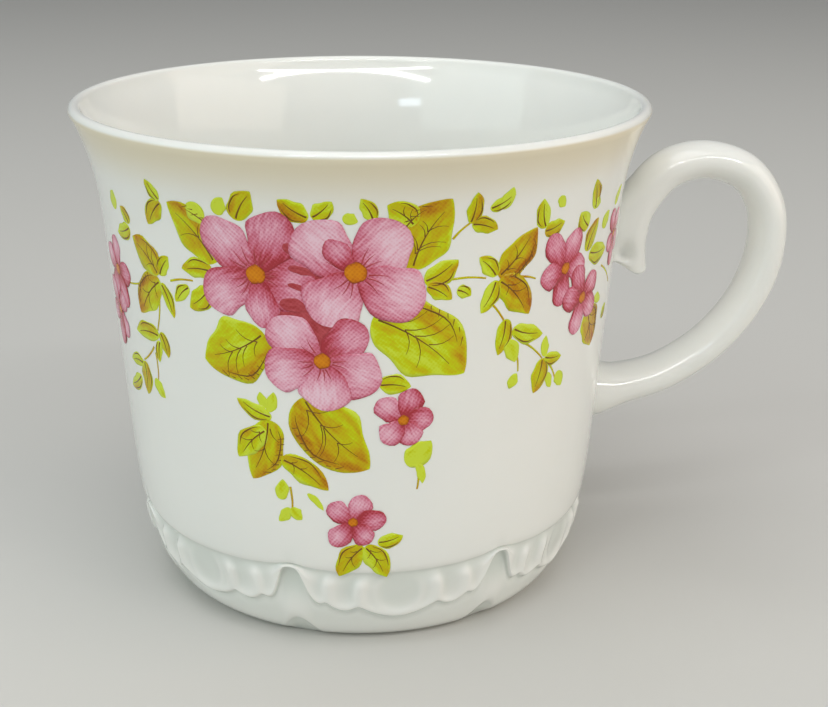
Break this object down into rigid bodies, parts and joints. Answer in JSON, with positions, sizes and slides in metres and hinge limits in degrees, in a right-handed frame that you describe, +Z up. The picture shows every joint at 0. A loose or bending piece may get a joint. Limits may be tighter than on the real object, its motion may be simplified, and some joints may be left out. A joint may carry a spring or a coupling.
{
  "type": "teacup",
  "caption": "Flared porcelain teacup with a gadrooned base, an ear-shaped handle ending in a thorn, and fired enamel flower garlands.",
  "frame": {"origin": "on the cup's axis at the level of the table, in the plane of the foot ring", "axes": "+Z up along the cup's axis, +X from the axis towards the handle, +Y completes a right-handed frame"},
  "size_m": [0.1049, 0.083, 0.072],
  "materials": {
    "glazed_porcelain": "transparent gloss glaze over white porcelain",
    "handle_porcelain": "transparent gloss glaze over white porcelain",
    "joint_slip": "porcelain slip sponged smooth and glazed over",
    "overglaze_enamel": "printed overglaze enamel transfer, fired, slightly raised and glossy"
  },
  "bodies": {
    "root": {"cup_body": "glazed_porcelain", "handle": "handle_porcelain", "upper_slip_joint": "joint_slip", "lower_slip_joint": "joint_slip", "front_garland": "overglaze_enamel", "back_garland": "overglaze_enamel"}
  },
  "joints": []
}
